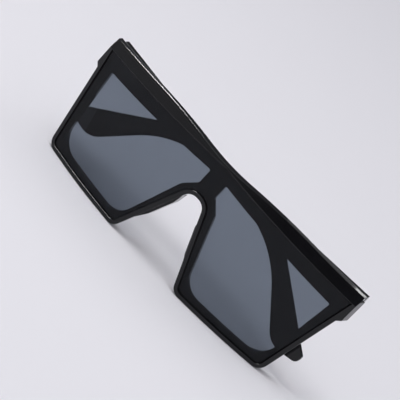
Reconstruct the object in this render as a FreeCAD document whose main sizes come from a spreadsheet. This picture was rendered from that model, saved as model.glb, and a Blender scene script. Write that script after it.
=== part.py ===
import FreeCAD, Part
import os

import Sketcher
from FreeCAD import Rotation, Vector

# Oversized flat-top shield sunglasses with the temples folded behind the front.
# Millimetres. X runs across the front with the wearer's left at +X, Y runs from the front to the back,
# Z is up. The front stands on the flat feet of its two rims.

# Driving sizes
SIZES = {
    # front seen from ahead
    "front_height": 56.2,
    "half_width": 75.0,
    "crown_share": 0.4,
    "crown_fall": 2.34,
    "crown_round_share": 0.55,
    "dip_round_share": 0.38,
    "tab_height": 16.2,
    "tab_step": 1.4,
    "side_foot_inset": 9.1,
    "side_top_inset": 1.7,
    "nose_foot": 18.65,
    "bridge_height": 20.1,
    "arch_half": 3.8,
    "arch_round_share": 1.28,
    "foot_radius": 5.0,
    # wrap and layers of the front
    "wrap_radius": 180.0,
    "lens_thickness": 2.0,
    "backing": 2.3,
    "rim_proud": 0.3,
    "rim_width": 1.9,
    "rim_edge": 0.5,
    "lens_gap": 0.1,
    "ledge_width": 0.5,
    "ledge_depth": 0.7,
    # brow bevel above the lens
    "crease_drop": 1.9,
    "crease_end_drop": 7.4,
    "brow_lip": 0.4,
    "brow_slope_angle": 20.0,
    # eye windows in the backing, set in from the edges of the front
    "window_foot": 3.9,
    "window_side_border": 4.0,
    "window_corner_border": 7.0,
    "window_outer_drop": 14.6,
    "window_inner_drop": 8.2,
    "window_inner": 4.6,
    "window_shoulder_rise": 4.5,
    "window_bend_share": 0.97,
    "window_bend_border": 5.6,
    "window_nose_border": 3.9,
    "window_radius": 10.0,
    "window_bend_radius": 4.0,
    "window_corner_radius": 0.8,
    # nose pads moulded on the back
    "pad_foot": 10.0,
    "pad_drop": 5.0,
    "pad_shoulder": 5.0,
    "pad_width": 3.2,
    "pad_proud": 1.0,
    "pad_start": 2.6,
    "pad_reach": 10.0,
    "pad_radius": 1.2,
    # endpieces behind the top corners
    "endpiece_length": 8.0,
    "endpiece_depth": 5.8,
    "endpiece_flare": 0.9,
    "endpiece_ramp": 1.5,
    "endpiece_drop": 5.4,
    # hinges
    "hinge_inset": 3.8,
    "hinge_drop": 10.0,
    "knuckle_radius": 1.8,
    "knuckle_height": 2.4,
    "knuckle_gap": 0.1,
    "leaf_width": 1.6,
    "leaf_foot": 3.5,
    "leaf_length": 12.0,
    "relief_gap": 0.3,
    "screw_radius": 0.75,
    "screw_play": 0.05,
    "screw_head_radius": 1.4,
    "screw_head_height": 0.7,
    # temples, measured from the hinge axis
    "temple_length": 144.9,
    "temple_offset": 1.1,
    "temple_thickness": 3.8,
    "temple_taper": 0.8,
    "temple_butt": 3.5,
    "butt_gap": 0.3,
    "temple_base_drop": 15.3,
    "temple_top_drop": 4.5,
    "bend_share": 0.7,
    "bend_radius": 46.0,
    "back_share": 0.716,
    "back_rise": 2.6,
    "back_radius": 40.0,
    "heel_share": 0.906,
    "heel_height_share": 0.196,
    "heel_radius": 10.0,
    "tip_height_share": 0.274,
    "tip_top_share": 0.36,
    "tip_heel_share": 0.85,
    "tip_corner_share": 0.35,
    "temple_edge": 0.9,
    # shares of a temple's thickness by which the folded tips lean, the left one back, the right one forward
    "left_lean_share": 0.74,
    "right_lean_share": 1.7,
    # overrun of every cut past the face it opens
    "overrun": 4.0,
}

doc = FreeCAD.newDocument("sunglasses")
sheet = doc.addObject("Spreadsheet::Sheet", "Sizes")
for row, (alias, number) in enumerate(SIZES.items(), start=1):
    sheet.set(f"A{row}", alias)
    sheet.set(f"B{row}", str(number))
    sheet.setAlias(f"B{row}", alias)
doc.recompute()

# Two places closer than this share of a length count as one
CLOSE_SHARE = 1e-6

# Lines and levels worked out from the sizes
CORNER_DEPTH = "(Sizes.wrap_radius - sqrt(Sizes.wrap_radius ^ 2 - Sizes.half_width ^ 2))"
ENDPIECE_REAR = f"({CORNER_DEPTH} + Sizes.endpiece_depth)"
FRONT_DEPTH = f"({ENDPIECE_REAR} + Sizes.overrun)"
CROWN_X = "(Sizes.crown_share * Sizes.half_width)"
TOP_SLOPE = f"(Sizes.crown_fall / {CROWN_X})"
CROWN_RADIUS = f"(Sizes.crown_round_share * {CROWN_X} / {TOP_SLOPE})"
DIP_RADIUS = f"(Sizes.dip_round_share * {CROWN_X} / {TOP_SLOPE})"
CROWN_TOP = f"(Sizes.front_height + {CROWN_RADIUS} * (sqrt(1 + {TOP_SLOPE} ^ 2) - 1))"
TAB_FOOT = "(Sizes.front_height - Sizes.tab_height)"
STEP_FOOT = f"({TAB_FOOT} - Sizes.tab_step)"
SIDE_FOOT = "(Sizes.half_width - Sizes.side_foot_inset)"
SIDE_SLOPE = f"((Sizes.side_foot_inset - Sizes.side_top_inset) / {STEP_FOOT})"
NOSE_HEIGHT = "(Sizes.front_height - Sizes.bridge_height)"
NOSE_SLOPE = f"((Sizes.nose_foot - Sizes.arch_half) / {NOSE_HEIGHT})"
ARCH_RADIUS = "(Sizes.arch_round_share * Sizes.arch_half)"
CREASE_SLOPE = "((Sizes.crease_end_drop - Sizes.crease_drop) / Sizes.half_width)"
HINGE_X = "(Sizes.half_width - Sizes.hinge_inset)"
HINGE_Y = f"({ENDPIECE_REAR} + Sizes.temple_butt + Sizes.butt_gap)"
HINGE_HEIGHT = "(Sizes.front_height - Sizes.hinge_drop)"
MIDDLE_FOOT = f"({HINGE_HEIGHT} - Sizes.knuckle_height / 2)"
MIDDLE_TOP = f"({HINGE_HEIGHT} + Sizes.knuckle_height / 2)"
HINGE_FOOT = f"({MIDDLE_FOOT} - Sizes.knuckle_gap - Sizes.knuckle_height)"
HINGE_TOP = f"({MIDDLE_TOP} + Sizes.knuckle_gap + Sizes.knuckle_height)"
TEMPLE_BASE = "(Sizes.front_height - Sizes.temple_base_drop)"
TEMPLE_TOP = "(Sizes.front_height - Sizes.temple_top_drop)"
TIP_FACE = f"((Sizes.tip_top_share - Sizes.tip_height_share) * {TEMPLE_BASE})"
LEAN = "Sizes.temple_thickness / Sizes.temple_length"
LEFT_FOLD = f"(90 - asin(Sizes.left_lean_share * {LEAN}) / 1 deg)"
RIGHT_FOLD = f"(90 + asin(Sizes.right_lean_share * {LEAN}) / 1 deg)"


# Helpers


def bind(thing, **expressions):
    """Tie properties of a document object to expressions over the sheet; __ stands for a dot."""
    for name, expression in expressions.items():
        thing.setExpression(name.replace("__", "."), expression)
    return thing


def add(kind, name, **expressions):
    return bind(doc.addObject(kind, name), **expressions)


def both_sides(corners):
    """A right-hand run of corners followed by its mirror image, as one closed outline."""
    return corners + [(f"-({x})", z) for x, z in reversed(corners)]


def outline(body, plane, corners):
    """A closed sketch whose corners are tied to the sheet by their distances from the origin."""
    sketch = body.newObject("Sketcher::SketchObject", body.Name + "_outline")
    planes = {feature.Role: feature for feature in body.Origin.OriginFeatures}
    sketch.AttachmentSupport = [(planes[plane], "")]
    sketch.MapMode = "FlatFace"
    count = len(corners)
    spots = [Vector(sheet.front_height, 0, 0)]
    while len(spots) < count:
        spots.append(Rotation(Vector(0, 0, 1), 360 * len(spots) / count).multVec(spots[0]))
    for index in range(count):
        line = Part.LineSegment(spots[index], spots[(index + 1) % count])
        sketch.addGeometry(line, False)
    for index in range(count):
        sketch.addConstraint(Sketcher.Constraint("Coincident", index, 2, (index + 1) % count, 1))
    for index, (sideways, up) in enumerate(corners):
        for kind, expression in (("DistanceX", sideways), ("DistanceY", up)):
            spot = spots[index].x if kind == "DistanceX" else spots[index].y
            number = sketch.addConstraint(Sketcher.Constraint(kind, -1, 1, index, 1, spot))
            sketch.setExpression(f"Constraints[{number}]", expression)
    doc.recompute()
    return sketch


def round_corners(body, feature, sketch, radii):
    """Round the edges that an extrusion raised from chosen corners of its sketch."""
    matrix = sketch.Placement
    normal = matrix.Rotation.multVec(Vector(0, 0, 1))
    for radius, picks in radii:
        names = []
        for pick in picks:
            corner = matrix.multVec(sketch.Geometry[pick].StartPoint)
            for number, edge in enumerate(feature.Shape.Edges, start=1):
                start = edge.Vertexes[0].Point
                along = edge.Vertexes[-1].Point - start
                upright = along.Length > 0 and along.cross(normal).Length < CLOSE_SHARE * along.Length
                off = (start - corner).cross(normal).Length
                if upright and off < CLOSE_SHARE * sheet.front_height:
                    names.append(f"Edge{number}")
        fillet = body.newObject("PartDesign::Fillet", body.Name + "_round")
        fillet.Base = (feature, names)
        bind(fillet, Radius=radius)
        doc.recompute()
        feature = fillet
    return feature


def prism(name, corners, radii):
    """An outline in the front view carried right through the depth of the front."""
    body = doc.addObject("PartDesign::Body", name)
    sketch = outline(body, "XZ_Plane", corners)
    pad = body.newObject("PartDesign::Pad", name + "_pad")
    pad.Profile = sketch
    pad.Midplane = True
    bind(pad, Length=f"2 * {FRONT_DEPTH}")
    doc.recompute()
    round_corners(body, pad, sketch, radii)
    return body


def drum(name, radius):
    """An upright cylinder about the centre of the wrap."""
    return add(
        "Part::Cylinder", name,
        Radius=radius,
        Height="Sizes.front_height + 2 * Sizes.overrun",
        Placement__Base__y="Sizes.wrap_radius",
        Placement__Base__z="-Sizes.overrun",
    )


def cut(name, base, tool):
    result = doc.addObject("Part::Cut", name)
    result.Base = base
    result.Tool = tool
    return result


def common(name, first, second):
    result = doc.addObject("Part::Common", name)
    result.Base = first
    result.Tool = second
    return result


def fuse(name, shapes):
    result = doc.addObject("Part::MultiFuse", name)
    result.Shapes = shapes
    return result


# Lines of the front view


def side_at(height):
    return f"({SIDE_FOOT} + ({height}) * {SIDE_SLOPE})"


def nose_at(height):
    return f"(Sizes.nose_foot - ({height}) * {NOSE_SLOPE})"


def across(distance, slope):
    """The width along X of a strip whose true width is measured square to a leaning edge."""
    return f"({distance}) * sqrt(1 + {slope} ^ 2)"


def front_corners():
    return both_sides([
        ("Sizes.half_width", "Sizes.front_height"),
        ("Sizes.half_width", TAB_FOOT),
        (side_at(STEP_FOOT), STEP_FOOT),
        (SIDE_FOOT, "0"),
        ("Sizes.nose_foot", "0"),
        ("Sizes.arch_half", NOSE_HEIGHT),
    ])


def lens_corners(inset, step):
    """The shield outline, set in from the front's outline, its top falling away under the brow with no step."""
    top = f"(Sizes.front_height - Sizes.crease_drop - Sizes.brow_lip - ({inset} - Sizes.rim_width))"
    inset = f"({inset} + {step})"
    edge = f"({side_at(top)} - {across(inset, SIDE_SLOPE)})"
    outer = f"({edge} / (1 + {SIDE_SLOPE} * {CREASE_SLOPE}))"
    arch = f"({NOSE_HEIGHT} + {inset})"
    return [("0", top)] + both_sides([
        (outer, f"{top} - {outer} * {CREASE_SLOPE}"),
        (f"{side_at(inset)} - {across(inset, SIDE_SLOPE)}", inset),
        (f"{nose_at(inset)} + {across(inset, NOSE_SLOPE)}", inset),
        (f"{nose_at(arch)} + {across(inset, NOSE_SLOPE)}", arch),
    ])


def lens_prism(name, inset, step="0"):
    feet = (f"Sizes.foot_radius - {inset} - {step}", (2, 3, 6, 7))
    arch = (f"{ARCH_RADIUS} + {inset} + {step}", (4, 5))
    return prism(name, lens_corners(inset, step), (feet, arch))


# One-piece shield lens with a stepped edge that leaves a groove inside the rim


def shield_lens():
    inset = "(Sizes.rim_width + Sizes.lens_gap)"
    back = drum("lens_back", "Sizes.wrap_radius - Sizes.lens_thickness")
    step = drum("lens_step_face", "Sizes.wrap_radius - Sizes.ledge_depth")
    face = drum("lens_face", "Sizes.wrap_radius")
    ledge = common("lens_ledge", cut("lens_ledge_blank", lens_prism("lens_outer", inset), back), step)
    inner = lens_prism("lens_inner", inset, "Sizes.ledge_width")
    plate = common("lens_plate", cut("lens_plate_blank", inner, back), face)
    return fuse("shield_lens", [ledge, plate])


# Hinges


def hinge_place(thing, side):
    return bind(
        thing,
        Placement__Base__x=f"{side} * {HINGE_X}",
        Placement__Base__y=HINGE_Y,
    )


def barrel(name, radius, low, high):
    """A cylinder on the hinge axis between two heights."""
    return add(
        "Part::Cylinder", name,
        Radius=radius, Height=f"{high} - ({low})", Placement__Base__z=low,
    )


def bore(name):
    radius = "Sizes.screw_radius + Sizes.screw_play"
    return barrel(name, radius, f"{HINGE_FOOT} - Sizes.overrun", f"{HINGE_TOP} + Sizes.overrun")


def leaf_block(name, front, back, low, high, left="-Sizes.leaf_width / 2"):
    """A flat length of leaf beside the hinge axis."""
    return add(
        "Part::Box", name,
        Length="Sizes.leaf_width", Width=f"{back} - ({front})", Height=f"{high} - ({low})",
        Placement__Base__x=left, Placement__Base__y=front, Placement__Base__z=low,
    )


def front_leaf(name, side):
    """Two knuckles on a foot that is sunk into the endpiece."""
    sunk = "-(Sizes.temple_butt + Sizes.butt_gap + Sizes.leaf_foot)"
    neck = "-(Sizes.knuckle_radius + Sizes.relief_gap)"
    pieces = [leaf_block(name + "_foot", sunk, neck, HINGE_FOOT, HINGE_TOP)]
    levels = (
        ("upper", f"({MIDDLE_TOP} + Sizes.knuckle_gap)", HINGE_TOP),
        ("lower", HINGE_FOOT, f"({MIDDLE_FOOT} - Sizes.knuckle_gap)"),
    )
    for level, low, high in levels:
        pieces.append(barrel(f"{name}_{level}", "Sizes.knuckle_radius", low, high))
        pieces.append(leaf_block(f"{name}_{level}_neck", neck, "0", low, high))
    leaf = cut(name, fuse(name + "_blank", pieces), bore(name + "_bore"))
    return hinge_place(leaf, side)


def strap(name, side):
    """The part of a temple's leaf that lies in the temple's inner side."""
    left = "Sizes.temple_offset" if side > 0 else "-Sizes.temple_offset - Sizes.leaf_width"
    return leaf_block(name, "0", "Sizes.leaf_length", MIDDLE_FOOT, MIDDLE_TOP, left)


def fold(thing, side):
    """Turn a temple piece about its hinge from straight back to its folded place."""
    thing.Placement.Rotation = Rotation(Vector(0, 0, 1), 0)
    angle = LEFT_FOLD if side > 0 else f"-{RIGHT_FOLD}"
    bind(thing, Placement__Rotation__Angle=angle)
    return hinge_place(thing, side)


def temple_leaf(name, side):
    """The middle knuckle and its strap."""
    knuckle = barrel(name + "_knuckle", "Sizes.knuckle_radius", MIDDLE_FOOT, MIDDLE_TOP)
    blank = fuse(name + "_blank", [knuckle, strap(name + "_strap", side)])
    return fold(cut(name, blank, bore(name + "_bore")), side)


def hinge_screw(name, side):
    body = doc.addObject("PartDesign::Body", name)
    head_top = f"({HINGE_TOP} + Sizes.screw_head_height)"
    sketch = outline(body, "XZ_Plane", [
        ("0", HINGE_FOOT),
        ("Sizes.screw_radius", HINGE_FOOT),
        ("Sizes.screw_radius", HINGE_TOP),
        ("Sizes.screw_head_radius", HINGE_TOP),
        ("Sizes.screw_head_radius", head_top),
        ("0", head_top),
    ])
    turned = body.newObject("PartDesign::Revolution", name + "_turned")
    turned.Profile = sketch
    turned.ReferenceAxis = (sketch, ["V_Axis"])
    turned.Angle = 360
    return hinge_place(body, side)


# Front frame


def endpiece(name, side):
    """A block behind a top corner that flares out to meet the open temple."""
    body = doc.addObject("PartDesign::Body", name)
    inner = "(Sizes.half_width - Sizes.endpiece_length)"
    corners = [
        (inner, "0"),
        ("Sizes.half_width", "0"),
        ("Sizes.half_width", CORNER_DEPTH),
        ("Sizes.half_width + Sizes.endpiece_flare", ENDPIECE_REAR),
        (f"{inner} + Sizes.endpiece_ramp", ENDPIECE_REAR),
        (inner, f"{ENDPIECE_REAR} - Sizes.endpiece_ramp"),
    ]
    sketch = outline(body, "XY_Plane", [(f"{side} * ({x})", y) for x, y in corners])
    bind(sketch, AttachmentOffset__Base__z=TAB_FOOT)
    pad = body.newObject("PartDesign::Pad", name + "_pad")
    pad.Profile = sketch
    bind(pad, Length="Sizes.tab_height - Sizes.endpiece_drop")
    doc.recompute()
    return body


def nose_pad(name, side):
    """A pad behind the nose edge that stands out into the nose gap, rounded where it meets the nose."""
    body = doc.addObject("PartDesign::Body", name)
    width = across("Sizes.pad_width", NOSE_SLOPE)
    proud = across("Sizes.pad_proud", NOSE_SLOPE)
    top = f"({NOSE_HEIGHT} - Sizes.pad_drop)"
    high = f"({top} - Sizes.pad_shoulder)"
    low = "(Sizes.pad_foot + Sizes.pad_shoulder)"
    corners = [
        (nose_at("Sizes.pad_foot"), "Sizes.pad_foot"),
        (f"{nose_at(low)} - {proud}", low),
        (f"{nose_at(high)} - {proud}", high),
        (nose_at(top), top),
        (f"{nose_at(high)} + {width}", high),
        (f"{nose_at(low)} + {width}", low),
    ]
    sketch = outline(body, "XZ_Plane", [(f"{side} * ({x})", z) for x, z in corners])
    bind(sketch, AttachmentOffset__Base__z="-Sizes.pad_start")
    pad = body.newObject("PartDesign::Pad", name + "_pad")
    pad.Profile = sketch
    pad.Reversed = True
    bind(pad, Length="Sizes.pad_reach - Sizes.pad_start")
    doc.recompute()
    rear = pad.Shape.BoundBox.YMax
    names = [
        f"Edge{number}" for number, edge in enumerate(pad.Shape.Edges, start=1)
        if edge.BoundBox.YMin > rear - CLOSE_SHARE * sheet.front_height
    ]
    fillet = body.newObject("PartDesign::Fillet", name + "_round")
    fillet.Base = (pad, names)
    bind(fillet, Radius="Sizes.pad_radius")
    return body


def window(name, side):
    """One eye window through the backing."""
    foot = "Sizes.window_foot"
    top = "(Sizes.front_height - Sizes.window_outer_drop)"
    bend = f"(Sizes.window_bend_share * {NOSE_HEIGHT})"
    corners = [
        (f"{side_at(top)} - Sizes.window_corner_border", top),
        (f"{side_at(foot)} - Sizes.window_side_border", foot),
        (f"{nose_at(foot)} + Sizes.window_nose_border", foot),
        (f"{nose_at(bend)} + Sizes.window_bend_border", bend),
        ("Sizes.window_inner", f"{NOSE_HEIGHT} + Sizes.window_shoulder_rise"),
        ("Sizes.window_inner", "Sizes.front_height - Sizes.window_inner_drop"),
    ]
    radii = (
        ("Sizes.window_radius", (1, 2)),
        ("Sizes.window_bend_radius", (3,)),
        ("Sizes.window_corner_radius", (0, 4, 5)),
    )
    return prism(name, [(f"{side} * ({x})", z) for x, z in corners], radii)


def brow_cutter(name, side):
    """What a sloping bevel takes off above the crease, on one half of the front."""
    crease = "Sizes.front_height - Sizes.crease_drop"
    face = "(Sizes.wrap_radius + Sizes.rim_proud)"
    low = "-Sizes.overrun"
    height = "Sizes.tab_height + Sizes.overrun"
    stock = add(
        "Part::Cylinder", name + "_stock",
        Radius=f"{face} + Sizes.overrun", Height=height, Placement__Base__z=low,
    )
    cone = add(
        "Part::Cone", name + "_cone",
        Radius1=f"{face} + Sizes.overrun * tan(Sizes.brow_slope_angle)",
        Radius2=f"{face} - Sizes.tab_height * tan(Sizes.brow_slope_angle)",
        Height=height, Placement__Base__z=low,
    )
    shaving = cut(name + "_shaving", stock, cone)
    shaving.Placement.Rotation = Rotation(Vector(0, 1, 0), 0)
    bind(
        shaving,
        Placement__Rotation__Angle=f"{side} * atan({CREASE_SLOPE}) / 1 deg",
        Placement__Base__y="Sizes.wrap_radius", Placement__Base__z=crease,
    )
    half = add(
        "Part::Box", name + "_half",
        Length="Sizes.half_width + Sizes.overrun", Width=FRONT_DEPTH,
        Height="2 * Sizes.front_height",
        Placement__Base__x="0" if side > 0 else "-Sizes.half_width - Sizes.overrun",
        Placement__Base__y="-Sizes.overrun",
    )
    return common(name, shaving, half)


def top_line():
    """What lies under the top of the front, which crowns over each eye and dips at the bridge."""
    end = "(Sizes.half_width + Sizes.overrun)"
    corners = [("0", f"{CROWN_TOP} - Sizes.crown_fall")] + both_sides([
        (CROWN_X, CROWN_TOP),
        (end, f"{CROWN_TOP} - ({end} - {CROWN_X}) * {TOP_SLOPE}"),
        (end, "-Sizes.overrun"),
    ])
    return prism("frame_top_line", corners, ((DIP_RADIUS, (0,)), (CROWN_RADIUS, (1, 6))))


def soft_rim(blank):
    """Round the front edge of the rim, from the tabs down."""
    doc.recompute()
    centre = Vector(0, sheet.wrap_radius, 0)
    face = sheet.wrap_radius + sheet.rim_proud
    below = sheet.front_height - sheet.tab_height - sheet.tab_step / 2
    edges = []
    for number, edge in enumerate(blank.Shape.Edges, start=1):
        spots = [vertex.Point - centre for vertex in edge.Vertexes]
        reach = [Vector(spot.x, spot.y, 0).Length for spot in spots]
        on_face = all(abs(length - face) < CLOSE_SHARE * face for length in reach)
        if on_face and edge.BoundBox.ZMax < below:
            edges.append((number, sheet.rim_edge, sheet.rim_edge))
    fillet = doc.addObject("Part::Fillet", "frame_soft_rim")
    fillet.Base = blank
    fillet.Edges = edges
    return fillet


def front_frame(leaves):
    back = drum("frame_back", "Sizes.wrap_radius - Sizes.lens_thickness - Sizes.lens_gap - Sizes.backing")
    feet = ("Sizes.foot_radius", (3, 4, 7, 8))
    arch = (ARCH_RADIUS, (5, 6))
    pieces = [cut("frame_plate", prism("frame_outline", front_corners(), (feet, arch)), back)]
    for word, side in SIDES:
        pieces.append(endpiece(word + "_endpiece", side))
        pieces.append(nose_pad(word + "_nose_pad", side))
    face = drum("frame_face", "Sizes.wrap_radius + Sizes.rim_proud")
    wrapped = common("frame_wrapped", fuse("frame_stock", pieces), face)
    blank = soft_rim(common("frame_blank", wrapped, top_line()))
    seat = drum("lens_seat", "Sizes.wrap_radius - Sizes.lens_thickness - Sizes.lens_gap")
    tools = [cut("lens_pocket", lens_prism("lens_pocket_outline", "Sizes.rim_width"), seat)]
    for word, side in SIDES:
        tools.append(window(word + "_window", side))
        tools.append(brow_cutter(word + "_brow", side))
    return cut("front_frame", blank, fuse("frame_tools", tools + leaves))


# Temples


def temple(name, side):
    """A flat arm that drops behind the ear and widens to a blunt tip."""
    body = doc.addObject("PartDesign::Body", name + "_arm")
    butt = "-Sizes.temple_butt"
    sketch = outline(body, "YZ_Plane", [
        (butt, TEMPLE_BASE),
        ("Sizes.bend_share * Sizes.temple_length", TEMPLE_BASE),
        ("Sizes.heel_share * Sizes.temple_length", f"Sizes.heel_height_share * {TEMPLE_BASE}"),
        ("Sizes.temple_length", f"Sizes.tip_height_share * {TEMPLE_BASE}"),
        ("Sizes.temple_length", f"Sizes.tip_top_share * {TEMPLE_BASE}"),
        ("Sizes.back_share * Sizes.temple_length", f"{TEMPLE_BASE} + Sizes.back_rise"),
        (butt, TEMPLE_TOP),
    ])
    bind(sketch, AttachmentOffset__Base__z=f"{side} * Sizes.temple_offset")
    pad = body.newObject("PartDesign::Pad", name + "_pad")
    pad.Profile = sketch
    pad.Reversed = side < 0
    bind(pad, Length="Sizes.temple_thickness")
    doc.recompute()
    rounded = round_corners(body, pad, sketch, (
        ("Sizes.bend_radius", (1,)),
        ("Sizes.heel_radius", (2,)),
        (f"Sizes.tip_heel_share * {TIP_FACE}", (3,)),
        (f"Sizes.tip_corner_share * {TIP_FACE}", (4,)),
        ("Sizes.back_radius", (5,)),
    ))
    soften(body, rounded)
    wedge = outline(body, "XY_Plane", [
        (f"{side} * Sizes.temple_offset", butt),
        (f"{side} * (Sizes.temple_offset + Sizes.temple_taper)", "Sizes.temple_length"),
        (f"{side} * (Sizes.temple_offset - Sizes.overrun)", "Sizes.temple_length"),
    ])
    thinned = body.newObject("PartDesign::Pocket", name + "_taper")
    thinned.Profile = wedge
    thinned.Type = "ThroughAll"
    thinned.Midplane = True
    relief = barrel(
        name + "_relief", "Sizes.knuckle_radius + Sizes.relief_gap",
        f"{HINGE_FOOT} - Sizes.relief_gap",
        f"({HINGE_TOP} + Sizes.screw_head_height + Sizes.relief_gap)",
    )
    tools = fuse(name + "_hinge_cut", [relief, strap(name + "_strap_seat", side)])
    return fold(cut(name, body, tools), side)


def soften(body, feature):
    """Round the outer edges of an arm, all but the one at the butt."""
    close = CLOSE_SHARE * sheet.front_height
    outer = sheet.temple_offset + sheet.temple_thickness - close
    butt = feature.Shape.BoundBox.YMin + close
    names = []
    for number, edge in enumerate(feature.Shape.Edges, start=1):
        on_outer = all(abs(vertex.X) > outer for vertex in edge.Vertexes)
        if on_outer and edge.BoundBox.YMax > butt:
            names.append(f"Edge{number}")
    fillet = body.newObject("PartDesign::Fillet", body.Name + "_soft")
    fillet.Base = (feature, names)
    bind(fillet, Radius="Sizes.temple_edge")
    doc.recompute()


SIDES = (("left", 1), ("right", -1))

leaves = [front_leaf(word + "_front_hinge_leaf", side) for word, side in SIDES]
finished = [shield_lens(), front_frame(leaves)] + leaves
for word, side in SIDES:
    finished.append(temple_leaf(word + "_temple_hinge_leaf", side))
    finished.append(hinge_screw(word + "_hinge_screw", side))
    finished.append(temple(word + "_temple", side))
doc.recompute()

# Every object is sound, then each piece is written with the row origin under the middle of the whole
for thing in doc.Objects:
    if "Invalid" in thing.State or "Error" in thing.State:
        raise RuntimeError(f"{thing.Label} did not build: {thing.State}")
depths = []
for thing in finished:
    if thing.Shape.isNull() or not thing.Shape.isValid() or len(thing.Shape.Solids) != 1:
        raise RuntimeError(f"{thing.Label} is not one sound solid")
    box = thing.Shape.optimalBoundingBox(False, False)
    depths += [box.YMin, box.YMax]
middle = (min(depths) + max(depths)) / 2
os.makedirs("parts", exist_ok=True)
for thing in finished:
    thing.Shape.translated(Vector(0, -middle, 0)).exportStep(f"parts/{thing.Label}.step")
print(f"{len(finished)} pieces, the row origin lies {middle:.4f} behind the front of the lens")
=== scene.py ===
import math

import bmesh
import bpy
from bpy.props import FloatProperty, FloatVectorProperty, PointerProperty
from mathutils import Matrix, Vector


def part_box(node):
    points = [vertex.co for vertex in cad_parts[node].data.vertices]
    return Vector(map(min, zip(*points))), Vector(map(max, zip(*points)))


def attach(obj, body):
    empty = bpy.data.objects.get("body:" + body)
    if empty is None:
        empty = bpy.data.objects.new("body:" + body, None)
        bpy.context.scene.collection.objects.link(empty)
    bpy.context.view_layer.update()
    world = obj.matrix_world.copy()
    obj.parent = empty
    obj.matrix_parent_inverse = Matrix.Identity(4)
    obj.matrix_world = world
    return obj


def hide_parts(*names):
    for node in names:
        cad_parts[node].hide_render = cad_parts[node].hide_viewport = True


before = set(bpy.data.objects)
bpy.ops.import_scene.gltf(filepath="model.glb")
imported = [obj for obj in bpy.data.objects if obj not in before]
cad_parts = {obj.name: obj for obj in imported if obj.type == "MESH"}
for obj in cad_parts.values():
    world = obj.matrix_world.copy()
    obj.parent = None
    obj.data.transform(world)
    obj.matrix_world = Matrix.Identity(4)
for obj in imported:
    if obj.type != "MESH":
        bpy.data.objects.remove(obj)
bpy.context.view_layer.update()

bl_info = {
    "name": "Oversized shield sunglasses",
    "version": (1, 0, 0),
    "blender": (4, 5, 0),
    "location": "View3D > Sidebar > Sunglasses",
    "description": "Finishes the packed sunglasses and sets them on a pale studio floor",
    "category": "Object",
}

MM = 0.001
FRONT = "front"
SIDES = ("left", "right")

# How far apart the features of each surface are, in millimetres.
FLOW_PATCHES = 9
SCUFFS = 1.6
SMEARS = 12
ROLLING_LINES = 0.12
LATHE_RINGS = 0.1
# A rolling line is this many times as long as it is wide.
ROLLING_STRETCH = 25
# Roughness of the cleanest and the most scuffed plastic, as shares of the set roughness.
CLEAN_SHARE, SCUFFED_SHARE = 0.8, 1.5
PLASTIC_IOR = 1.5
EDGE_SAMPLES = 6

SCREW_HEAD_HEIGHT = 0.7 * MM
SCREW_SHANK_RADIUS = 0.75 * MM
# The head has an upright rim for this share of its height, and then tapers to this share of its
# radius.
RIM_SHARE, CROWN_SHARE = 0.7, 0.8
SHANK_SIDES, HEAD_SIDES = 40, 48
# The slot's cutter is longer than the head is wide, and half of it stands above the head.
CUTTER_REACH, CUTTER_DEPTHS = 3, 2

FLOOR_SIDES = 96
# Where each colour of the sky sets in and where it is full: the bright side by its direction,
# the ceiling and the horizon by height.
BRIGHT_SPAN = (0.0, 0.9)
CEILING_SPAN = (0.42, 0.62)
HORIZON_SPAN = (0.2, 0.1)
# Places and sizes of the lights, in metres.
OVERHEAD_PLACE, OVERHEAD_SIZE, OVERHEAD_TARGET = (-0.5, -0.3, 1.3), (0.7, 0.7), (0, 0, 0)
HIGHLIGHT_TARGET = (0, 0, 0.05)
# Panels mirrored in the rounded edges and the top of the brow: name, watts, place and size.
HIGHLIGHTS = (
    ("window", 46.0, (-0.76, -0.30, 1.13), (0.62, 0.56)),
    ("rear_left", 0.004, (-0.43, 1.10, 0.365), (0.20, 0.040)),
    ("brow_left", 44.0, (-0.62, 0.40, 1.02), (0.40, 0.36)),
    ("rear_right", 0.010, (-0.03, 1.14, 0.41), (0.22, 0.07)),
    ("rear_end", 0.035, (0.035, 1.14, 0.44), (0.05, 0.05)),
)
SENSOR_MM = 36
NEAREST_SEEN = 10 * MM


def linear(code):
    """An sRGB hex code as linear red, green, blue and a full alpha."""
    parts = [int(code[i:i + 2], 16) / 255 for i in (1, 3, 5)]
    channels = (c / 12.92 if c <= 0.04045 else ((c + 0.055) / 1.055) ** 2.4 for c in parts)
    return (*channels, 1.0)


def per_metre(millimetres):
    """Texture scale for a pattern whose features are this far apart."""
    return 1 / (millimetres * MM)


def colour_property(name, description, code):
    """A colour swatch with an sRGB hex default."""
    return FloatVectorProperty(
        name=name, description=description,
        default=linear(code), subtype="COLOR", size=4, min=0, max=1
    )


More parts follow.
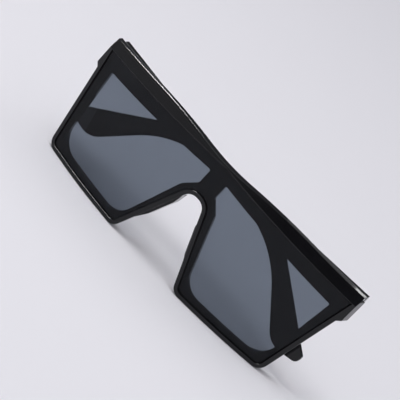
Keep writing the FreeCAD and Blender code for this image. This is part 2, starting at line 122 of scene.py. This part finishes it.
class SunglassesFinish(bpy.types.PropertyGroup):
    """Colours and surface sizes of the pieces."""

    plastic: colour_property("Plastic", "Moulded black of the front and temples", "#0b0b0d")
    plastic_pale: colour_property(
        "Plastic, pale", "Where the moulded black scatters a little more light", "#131316"
    )
    plastic_roughness: FloatProperty(
        name="Plastic roughness", description="Polish of the moulded black",
        default=0.05, min=0, max=1, subtype="FACTOR"
    )
    gloss: FloatProperty(
        name="Gloss", description="Mirror strength of the plastics; 0.5 is a factory-clean surface",
        default=0.35, min=0, max=1, subtype="FACTOR"
    )
    peel: FloatProperty(
        name="Mould ripple", description="Distance between the soft ripples of the moulded skin",
        default=4.0 * MM, min=0.1 * MM, max=20 * MM, unit="LENGTH"
    )
    edge: FloatProperty(
        name="Edge softness", description="Radius at which a moulded edge catches the light",
        default=0.4 * MM, min=0, max=1 * MM, unit="LENGTH"
    )
    tint: colour_property(
        "Lens tint", "Colour that each face of the lens gives to light", "#edf5ff"
    )
    lens_body: colour_property("Lens body", "Dye seen in the lens itself", "#0e0f13")
    density: FloatProperty(
        name="Lens density", description="Share of the light that the lens keeps",
        default=0.77, min=0, max=1, subtype="FACTOR"
    )
    lens_gloss: FloatProperty(
        name="Lens gloss", description="Mirror strength of the lens; 0.5 is bare polycarbonate",
        default=0.24, min=0, max=1, subtype="FACTOR"
    )
    steel: colour_property("Steel", "Bare steel of the hinge leaves", "#b9babd")
    screw_steel: colour_property("Screw steel", "Turned steel of the hinge screws", "#c9cacc")
    slot_width: FloatProperty(
        name="Slot width", description="Driver slot across a screw's head",
        default=0.45 * MM, min=0.1 * MM, max=1 * MM, unit="LENGTH"
    )
    slot_depth: FloatProperty(
        name="Slot depth", description="Depth of the driver slot",
        default=0.35 * MM, min=0.05 * MM, max=0.6 * MM, unit="LENGTH"
    )


class SunglassesStage(bpy.types.PropertyGroup):
    """Floor, light and camera."""

    floor: colour_property("Floor", "Matte pale floor", "#e6e5ea")
    ceiling: colour_property("Ceiling", "Soft light from above", "#e9e9ec")
    horizon: colour_property("Horizon", "Pale wall where the floor ends", "#c0bfc6")
    bright_side: colour_property("Bright side", "Upper walls on the viewer's left", "#bcbcc0")
    dim_side: colour_property("Dim side", "Upper walls elsewhere", "#46464a")
    bright_from: FloatVectorProperty(
        name="Bright from", description="Direction of the brightest upper wall",
        default=(-0.94, -0.34, 0.0), subtype="DIRECTION"
    )
    floor_radius: FloatProperty(
        name="Floor radius", description="Reach of the floor",
        default=4.0, min=1, max=20, unit="LENGTH"
    )
    overhead: FloatProperty(
        name="Overhead light", description="Power of the large soft light above",
        default=7.2, min=0, unit="POWER"
    )
    highlights: FloatProperty(
        name="Highlights", description="Strength of the panels that only show mirrored in edges",
        default=1.0, min=0
    )
    azimuth: FloatProperty(
        name="Azimuth", description="Turn of the camera round the object",
        default=math.radians(11.31), subtype="ANGLE"
    )
    elevation: FloatProperty(
        name="Elevation", description="Height of the camera above the horizon",
        default=math.radians(18.37), subtype="ANGLE"
    )
    roll: FloatProperty(
        name="Roll", description="Turn of the camera round its own view",
        default=math.radians(43.37), subtype="ANGLE"
    )
    distance: FloatProperty(
        name="Distance", description="Camera to the middle of the front",
        default=0.77718, min=0.1, unit="LENGTH"
    )
    focal: FloatProperty(
        name="Focal length", description="Lens of the camera on a 36 mm sensor",
        default=168.3, min=10, unit="CAMERA"
    )
    aim: FloatVectorProperty(
        name="Aim", description="Point in the middle of the picture",
        default=(-0.002142, -0.000084, 0.030937), subtype="TRANSLATION", unit="LENGTH"
    )


def new_material(name):
    """An empty node material."""
    material = bpy.data.materials.new(name)
    material.use_nodes = True
    material.node_tree.nodes.clear()
    return material


def node(tree, kind, settings=None, links=None, values=None):
    """Adds one node with its settings, socket values and incoming links."""
    made = tree.nodes.new(kind)
    for name, value in (settings or {}).items():
        setattr(made, name, value)
    for key, value in (values or {}).items():
        made.inputs[key].default_value = value
    for key, source in (links or {}).items():
        tree.links.new(source, made.inputs[key])
    return made


def moulded_black_polycarbonate(finish):
    """Polycarbonate, polished in the mould: deep black, mirror-like, with a faint ripple."""
    material = new_material("moulded_black_polycarbonate")
    tree = material.node_tree
    place = node(tree, "ShaderNodeTexCoord").outputs["Object"]
    # Flow of the resin leaves patches that are slightly paler.
    flow = node(
        tree, "ShaderNodeTexNoise", None, {"Vector": place},
        {"Scale": per_metre(FLOW_PATCHES), "Detail": 3, "Roughness": 0.55},
    )
    shade = node(
        tree, "ShaderNodeMix", {"data_type": "RGBA"}, {0: flow.outputs[0]},
        {6: finish.plastic, 7: finish.plastic_pale},
    )
    # Scuffs from wiping dull the polish a little.
    scuff = node(
        tree, "ShaderNodeTexNoise", None, {"Vector": place},
        {"Scale": per_metre(SCUFFS), "Detail": 5, "Roughness": 0.7},
    )
    polish = node(
        tree, "ShaderNodeMapRange", None, {"Value": scuff.outputs[0]},
        {
            "From Min": 0.3,
            "From Max": 0.8,
            "To Min": finish.plastic_roughness * CLEAN_SHARE,
            "To Max": finish.plastic_roughness * SCUFFED_SHARE,
        },
    )
    ripple = node(
        tree, "ShaderNodeTexNoise", None, {"Vector": place},
        {"Scale": per_metre(finish.peel / MM), "Detail": 1, "Roughness": 0.4},
    )
    edge = node(tree, "ShaderNodeBevel", {"samples": EDGE_SAMPLES}, None, {"Radius": finish.edge})
    skin = node(
        tree, "ShaderNodeBump", None, {"Height": ripple.outputs[0], "Normal": edge.outputs[0]},
        {"Strength": 0.25, "Distance": 0.02 * MM},
    )
    body = node(
        tree, "ShaderNodeBsdfPrincipled", None,
        {"Base Color": shade.outputs[2], "Roughness": polish.outputs[0], "Normal": skin.outputs[0]},
        {"IOR": PLASTIC_IOR, "Specular IOR Level": finish.gloss},
    )
    node(tree, "ShaderNodeOutputMaterial", None, {"Surface": body.outputs[0]})
    return material


def dyed_polycarbonate_lens(finish):
    """Dyed polycarbonate, polished: dark blue-grey, see-through, with a clean reflection."""
    material = new_material("dyed_polycarbonate_lens")
    tree = material.node_tree
    place = node(tree, "ShaderNodeTexCoord").outputs["Object"]
    # Smears from wiping blur the reflection a little.
    smear = node(
        tree, "ShaderNodeTexNoise", None, {"Vector": place},
        {"Scale": per_metre(SMEARS), "Detail": 4, "Roughness": 0.6, "Distortion": 0.6},
    )
    polish = node(
        tree, "ShaderNodeMapRange", None, {"Value": smear.outputs[0]},
        {"From Min": 0.35, "From Max": 0.75, "To Min": 0.03, "To Max": 0.09},
    )
    edge = node(
        tree, "ShaderNodeBevel", {"samples": EDGE_SAMPLES}, None, {"Radius": finish.edge / 2}
    )
    body = node(
        tree, "ShaderNodeBsdfPrincipled", None,
        {"Roughness": polish.outputs[0], "Normal": edge.outputs[0]},
        {
            "Base Color": finish.lens_body,
            "IOR": PLASTIC_IOR,
            "Specular IOR Level": finish.lens_gloss,
        },
    )
    through = node(tree, "ShaderNodeBsdfTransparent", None, None, {"Color": finish.tint})
    # The face a ray enters by keeps the dye's share of it; the far face lets the rest out.
    side = node(tree, "ShaderNodeNewGeometry")
    kept = node(
        tree, "ShaderNodeMapRange", None, {"Value": side.outputs["Backfacing"]},
        {"To Min": finish.density, "To Max": 0},
    )
    dyed = node(
        tree, "ShaderNodeMixShader", None,
        {0: kept.outputs[0], 1: through.outputs[0], 2: body.outputs[0]},
    )
    node(tree, "ShaderNodeOutputMaterial", None, {"Surface": dyed.outputs[0]})
    return material


def stamped_nickel_steel(finish):
    """Stamped nickel steel, tumbled bright: a clear shine with fine lines along the strip."""
    material = new_material("stamped_nickel_steel")
    tree = material.node_tree
    place = node(tree, "ShaderNodeTexCoord").outputs["Object"]
    # The lines left by rolling run upright.
    drawn = node(
        tree, "ShaderNodeMapping", None, {"Vector": place}, {"Scale": (1, 1, 1 / ROLLING_STRETCH)}
    )
    lines = node(
        tree, "ShaderNodeTexNoise", None, {"Vector": drawn.outputs[0]},
        {"Scale": per_metre(ROLLING_LINES), "Detail": 2, "Roughness": 0.5},
    )
    polish = node(
        tree, "ShaderNodeMapRange", None, {"Value": lines.outputs[0]},
        {"From Min": 0.3, "From Max": 0.7, "To Min": 0.12, "To Max": 0.2},
    )
    edge = node(
        tree, "ShaderNodeBevel", {"samples": EDGE_SAMPLES}, None, {"Radius": finish.edge / 2}
    )
    skin = node(
        tree, "ShaderNodeBump", None, {"Height": lines.outputs[0], "Normal": edge.outputs[0]},
        {"Strength": 0.3, "Distance": 0.004 * MM},
    )
    body = node(
        tree, "ShaderNodeBsdfPrincipled", None,
        {"Roughness": polish.outputs[0], "Normal": skin.outputs[0]},
        {"Base Color": finish.steel, "Metallic": 1},
    )
    node(tree, "ShaderNodeOutputMaterial", None, {"Surface": body.outputs[0]})
    return material


def turned_steel(finish):
    """Turned steel: bright, with rings left by the lathe round the screw's axis."""
    material = new_material("turned_steel")
    tree = material.node_tree
    turn = node(tree, "ShaderNodeAttribute", {"attribute_name": "turn_radius"})
    # The rings are drawn coarser than the real ones, so that they show.
    rings = node(
        tree, "ShaderNodeMath", {"operation": "MULTIPLY"}, {0: turn.outputs["Fac"]},
        {1: math.tau * per_metre(LATHE_RINGS)},
    )
    swell = node(tree, "ShaderNodeMath", {"operation": "SINE"}, {0: rings.outputs[0]})
    polish = node(
        tree, "ShaderNodeMapRange", None, {"Value": swell.outputs[0]},
        {"From Min": -1, "From Max": 1, "To Min": 0.1, "To Max": 0.16},
    )
    skin = node(
        tree, "ShaderNodeBump", None, {"Height": swell.outputs[0]},
        {"Strength": 0.2, "Distance": 0.004 * MM},
    )
    body = node(
        tree, "ShaderNodeBsdfPrincipled", None,
        {"Roughness": polish.outputs[0], "Normal": skin.outputs[0]},
        {"Base Color": finish.screw_steel, "Metallic": 1},
    )
    node(tree, "ShaderNodeOutputMaterial", None, {"Surface": body.outputs[0]})
    return material


def dress(names, material):
    """Gives CAD nodes their material."""
    for name in names:
        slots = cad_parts[name].data.materials
        slots.clear()
        slots.append(material)


class SUNGLASSES_OT_front(bpy.types.Operator):
    """Finish the moulded front"""

    bl_idname = "sunglasses.front"
    bl_label = "Finish the front"

    def execute(self, context):
        dress(["front_frame"], moulded_black_polycarbonate(context.scene.sunglasses_finish))
        return {"FINISHED"}


class SUNGLASSES_OT_lens(bpy.types.Operator):
    """Finish the shield lens"""

    bl_idname = "sunglasses.lens"
    bl_label = "Finish the lens"

    def execute(self, context):
        dress(["shield_lens"], dyed_polycarbonate_lens(context.scene.sunglasses_finish))
        return {"FINISHED"}


class SUNGLASSES_OT_temples(bpy.types.Operator):
    """Finish both temples"""

    bl_idname = "sunglasses.temples"
    bl_label = "Finish the temples"

    def execute(self, context):
        material = bpy.data.materials.get("moulded_black_polycarbonate")
        if material is None:
            raise RuntimeError("finish the front first: the temples share its plastic")
        dress([side + "_temple" for side in SIDES], material)
        return {"FINISHED"}


class SUNGLASSES_OT_leaves(bpy.types.Operator):
    """Finish the four hinge leaves"""

    bl_idname = "sunglasses.leaves"
    bl_label = "Finish the hinge leaves"

    def execute(self, context):
        names = [f"{side}_{part}_hinge_leaf" for side in SIDES for part in ("front", "temple")]
        dress(names, stamped_nickel_steel(context.scene.sunglasses_finish))
        return {"FINISHED"}


SCREW_INPUTS = (
    ("Centre", "NodeSocketVector"),
    ("Shank Radius", "NodeSocketFloat"),
    ("Shank Length", "NodeSocketFloat"),
    ("Head Radius", "NodeSocketFloat"),
    ("Head Height", "NodeSocketFloat"),
    ("Slot Width", "NodeSocketFloat"),
    ("Slot Depth", "NodeSocketFloat"),
)


def screw_tree(material):
    """A cheese-head screw with a driver slot; its foot is at Centre."""
    tree = bpy.data.node_groups.new("hinge_screw", "GeometryNodeTree")
    for name, kind in SCREW_INPUTS:
        tree.interface.new_socket(name, in_out="INPUT", socket_type=kind)
    tree.interface.new_socket("Geometry", in_out="OUTPUT", socket_type="NodeSocketGeometry")
    given = node(tree, "NodeGroupInput").outputs
    length, narrow = given["Shank Length"], given["Shank Radius"]
    head, wide = given["Head Height"], given["Head Radius"]
    times, plus, minus = ({"operation": name} for name in ("MULTIPLY", "ADD", "SUBTRACT"))

    rim_height = node(tree, "ShaderNodeMath", times, {0: head}, {1: RIM_SHARE}).outputs[0]
    rim_top = node(tree, "ShaderNodeMath", plus, {0: length, 1: rim_height}).outputs[0]
    crown_height = node(tree, "ShaderNodeMath", minus, {0: head, 1: rim_height}).outputs[0]
    crown_radius = node(tree, "ShaderNodeMath", times, {0: wide}, {1: CROWN_SHARE}).outputs[0]
    head_top = node(tree, "ShaderNodeMath", plus, {0: length, 1: head}).outputs[0]
    # Shank, rim and crown: sides, radius at the foot and at the top, height, and level of the foot.
    # The shank runs up through the rim, so that the two join.
    turned = (
        (SHANK_SIDES, narrow, narrow, rim_top, {}),
        (HEAD_SIDES, wide, wide, rim_height, {"Z": length}),
        (HEAD_SIDES, wide, crown_radius, crown_height, {"Z": rim_top}),
    )
    solid = node(tree, "GeometryNodeMeshBoolean", {"operation": "UNION"})
    for sides, foot_radius, top_radius, height, level in turned:
        shape = node(
            tree, "GeometryNodeMeshCone", None,
            {"Radius Bottom": foot_radius, "Radius Top": top_radius, "Depth": height},
            {"Vertices": sides},
        )
        up = node(tree, "ShaderNodeCombineXYZ", None, level)
        lifted = node(
            tree, "GeometryNodeTransform", None,
            {"Geometry": shape.outputs[0], "Translation": up.outputs[0]},
        )
        tree.links.new(lifted.outputs[0], solid.inputs["Mesh 2"])

    reach = node(tree, "ShaderNodeMath", times, {0: wide}, {1: CUTTER_REACH})
    depth = node(tree, "ShaderNodeMath", times, {0: given["Slot Depth"]}, {1: CUTTER_DEPTHS})
    cutter_size = node(
        tree, "ShaderNodeCombineXYZ", None,
        {"X": reach.outputs[0], "Y": given["Slot Width"], "Z": depth.outputs[0]},
    )
    cutter = node(tree, "GeometryNodeMeshCube", None, {"Size": cutter_size.outputs[0]})
    up = node(tree, "ShaderNodeCombineXYZ", None, {"Z": head_top})
    lifted = node(
        tree, "GeometryNodeTransform", None,
        {"Geometry": cutter.outputs[0], "Translation": up.outputs[0]},
    )
    slotted = node(
        tree, "GeometryNodeMeshBoolean", {"operation": "DIFFERENCE"},
        {"Mesh 1": solid.outputs[0], "Mesh 2": lifted.outputs[0]},
    )

    # The distance from the axis is kept on the mesh, for the rings of the finish.
    where = node(tree, "GeometryNodeInputPosition")
    flat = node(tree, "ShaderNodeVectorMath", times, {0: where.outputs[0]}, {1: (1, 1, 0)})
    radius = node(tree, "ShaderNodeVectorMath", {"operation": "LENGTH"}, {0: flat.outputs[0]})
    marked = node(
        tree, "GeometryNodeStoreNamedAttribute", {"data_type": "FLOAT", "domain": "POINT"},
        {"Geometry": slotted.outputs[0], "Value": radius.outputs["Value"]}, {"Name": "turn_radius"},
    )
    spot = node(tree, "GeometryNodePoints", None, {"Position": given["Centre"]}, {"Count": 1})
    placed = node(
        tree, "GeometryNodeInstanceOnPoints", None,
        {"Points": spot.outputs[0], "Instance": marked.outputs[0]},
    )
    real = node(tree, "GeometryNodeRealizeInstances", None, {"Geometry": placed.outputs[0]})
    dressed = node(
        tree, "GeometryNodeSetMaterial", None, {"Geometry": real.outputs[0]}, {"Material": material}
    )
    node(tree, "NodeGroupOutput", None, {0: dressed.outputs[0]})
    return tree


def grown(name, tree, sizes):
    """Runs a tree with these sizes and keeps the result as a plain mesh object."""
    host = bpy.data.objects.new(name + "_host", bpy.data.meshes.new(name + "_host"))
    bpy.context.scene.collection.objects.link(host)
    modifier = host.modifiers.new("grow", "NODES")
    modifier.node_group = tree
    for item in tree.interface.items_tree:
        if item.in_out == "INPUT":
            modifier[item.identifier] = sizes[item.name]
    evaluated = host.evaluated_get(bpy.context.evaluated_depsgraph_get())
    mesh = bpy.data.meshes.new_from_object(evaluated)
    bpy.data.objects.remove(host)
    if not mesh.polygons:
        raise RuntimeError(f"{name} came out empty")
    mesh.name = name
    made = bpy.data.objects.new(name, mesh)
    bpy.context.scene.collection.objects.link(made)
    return made


class SUNGLASSES_OT_screws(bpy.types.Operator):
    """Make the slotted hinge screws"""

    bl_idname = "sunglasses.screws"
    bl_label = "Make the hinge screws"

    def execute(self, context):
        finish = context.scene.sunglasses_finish
        tree = screw_tree(turned_steel(finish))
        for side in SIDES:
            cad = side + "_hinge_screw"
            low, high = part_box(cad)
            middle = (low + high) / 2
            screw = grown(
                side + "_slotted_screw", tree,
                {
                    "Centre": Vector((middle.x, middle.y, low.z)),
                    "Shank Radius": SCREW_SHANK_RADIUS,
                    "Shank Length": high.z - low.z - SCREW_HEAD_HEIGHT,
                    "Head Radius": (high.x - low.x) / 2,
                    "Head Height": SCREW_HEAD_HEIGHT,
                    "Slot Width": finish.slot_width,
                    "Slot Depth": finish.slot_depth,
                },
            )
            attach(screw, FRONT)
            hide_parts(cad)
        return {"FINISHED"}


def soft_light(name, power, place, target, size, only_mirrored=False):
    """A rectangular soft light that faces target; one that is only mirrored lights nothing up."""
    lamp = bpy.data.lights.new(name, "AREA")
    lamp.energy = power
    lamp.shape = "RECTANGLE"
    lamp.size, lamp.size_y = size
    made = bpy.data.objects.new(name, lamp)
    made.location = place
    made.rotation_euler = (Vector(target) - Vector(place)).to_track_quat("-Z", "Y").to_euler()
    made.visible_camera = False
    made.visible_diffuse = not only_mirrored
    bpy.context.scene.collection.objects.link(made)


def lay_floor(stage):
    """A round floor of matte paper at height zero: pale and even, with no shine."""
    mesh = bpy.data.meshes.new("floor")
    build = bmesh.new()
    bmesh.ops.create_circle(build, cap_ends=True, segments=FLOOR_SIDES, radius=stage.floor_radius)
    build.to_mesh(mesh)
    build.free()
    floor = bpy.data.objects.new("floor", mesh)
    bpy.context.scene.collection.objects.link(floor)
    material = new_material("matte_paper")
    tree = material.node_tree
    body = node(
        tree, "ShaderNodeBsdfPrincipled", None, None,
        {"Base Color": stage.floor, "Roughness": 0.8, "Specular IOR Level": 0},
    )
    node(tree, "ShaderNodeOutputMaterial", None, {"Surface": body.outputs[0]})
    mesh.materials.append(material)


def hang_sky(stage):
    """Dim upper walls, brighter on the viewer's left, with a soft ceiling and a pale horizon."""
    world = bpy.data.worlds.new("studio")
    bpy.context.scene.world = world
    world.use_nodes = True
    tree = world.node_tree
    tree.nodes.clear()
    towards = node(tree, "ShaderNodeTexCoord").outputs["Generated"]
    along = node(
        tree, "ShaderNodeVectorMath", {"operation": "DOT_PRODUCT"},
        {0: towards}, {1: stage.bright_from},
    )
    height = node(tree, "ShaderNodeSeparateXYZ", None, {0: towards})
    layers = (
        (along.outputs["Value"], BRIGHT_SPAN, stage.bright_side),
        (height.outputs["Z"], CEILING_SPAN, stage.ceiling),
        (height.outputs["Z"], HORIZON_SPAN, stage.horizon),
    )
    # The first layer lies on the dim colour, and each later one on the layer before it.
    below = {}
    for measure, (start, full), colour in layers:
        share = node(
            tree, "ShaderNodeMapRange", {"interpolation_type": "SMOOTHSTEP"}, {"Value": measure},
            {"From Min": start, "From Max": full},
        )
        shade = node(
            tree, "ShaderNodeMix", {"data_type": "RGBA"}, {0: share.outputs[0], **below},
            {6: stage.dim_side, 7: colour},
        )
        below = {6: shade.outputs[2]}
    sky = node(tree, "ShaderNodeBackground", None, {"Color": shade.outputs[2]}, {"Strength": 1})
    node(tree, "ShaderNodeOutputWorld", None, {"Surface": sky.outputs[0]})


def aim_camera(stage):
    """The camera of the photograph: long lens, a little above, turned on its side."""
    data = bpy.data.cameras.new("camera")
    data.sensor_width = SENSOR_MM
    data.lens = stage.focal
    data.clip_start = NEAREST_SEEN
    camera = bpy.data.objects.new("camera", data)
    turn = (
        Matrix.Rotation(stage.azimuth, 4, "Z")
        @ Matrix.Rotation(math.pi / 2 - stage.elevation, 4, "X")
        @ Matrix.Rotation(stage.roll, 4, "Z")
    )
    back = turn.to_3x3() @ Vector((0, 0, 1))
    camera.matrix_world = Matrix.Translation(Vector(stage.aim) + back * stage.distance) @ turn
    bpy.context.scene.collection.objects.link(camera)
    bpy.context.scene.camera = camera


class SUNGLASSES_OT_stage(bpy.types.Operator):
    """Set up the floor, the light and the camera"""

    bl_idname = "sunglasses.stage"
    bl_label = "Set the stage"

    def execute(self, context):
        stage = context.scene.sunglasses_stage
        context.scene.view_settings.view_transform = "Standard"
        lay_floor(stage)
        hang_sky(stage)
        soft_light("overhead", stage.overhead, OVERHEAD_PLACE, OVERHEAD_TARGET, OVERHEAD_SIZE)
        for name, power, place, size in HIGHLIGHTS:
            soft_light(name, power * stage.highlights, place, HIGHLIGHT_TARGET, size, True)
        aim_camera(stage)
        return {"FINISHED"}


class SUNGLASSES_PT_panel(bpy.types.Panel):
    """Steps and settings of the sunglasses"""

    bl_label = "Sunglasses"
    bl_idname = "SUNGLASSES_PT_panel"
    bl_space_type = "VIEW_3D"
    bl_region_type = "UI"
    bl_category = "Sunglasses"

    def draw(self, context):
        for step in STEPS:
            self.layout.operator(step.bl_idname)
        for group in (context.scene.sunglasses_finish, context.scene.sunglasses_stage):
            for name in group.__annotations__:
                self.layout.prop(group, name)


STEPS = (
    SUNGLASSES_OT_front,
    SUNGLASSES_OT_lens,
    SUNGLASSES_OT_temples,
    SUNGLASSES_OT_leaves,
    SUNGLASSES_OT_screws,
    SUNGLASSES_OT_stage,
)
CLASSES = (SunglassesFinish, SunglassesStage) + STEPS + (SUNGLASSES_PT_panel,)


def register():
    for made in CLASSES:
        bpy.utils.register_class(made)
    bpy.types.Scene.sunglasses_finish = PointerProperty(type=SunglassesFinish)
    bpy.types.Scene.sunglasses_stage = PointerProperty(type=SunglassesStage)


def unregister():
    del bpy.types.Scene.sunglasses_stage
    del bpy.types.Scene.sunglasses_finish
    for made in reversed(CLASSES):
        bpy.utils.unregister_class(made)


def main():
    register()
    for step in STEPS:
        group, name = step.bl_idname.split(".")
        getattr(getattr(bpy.ops, group), name)()


if __name__ == "__main__":
    main()
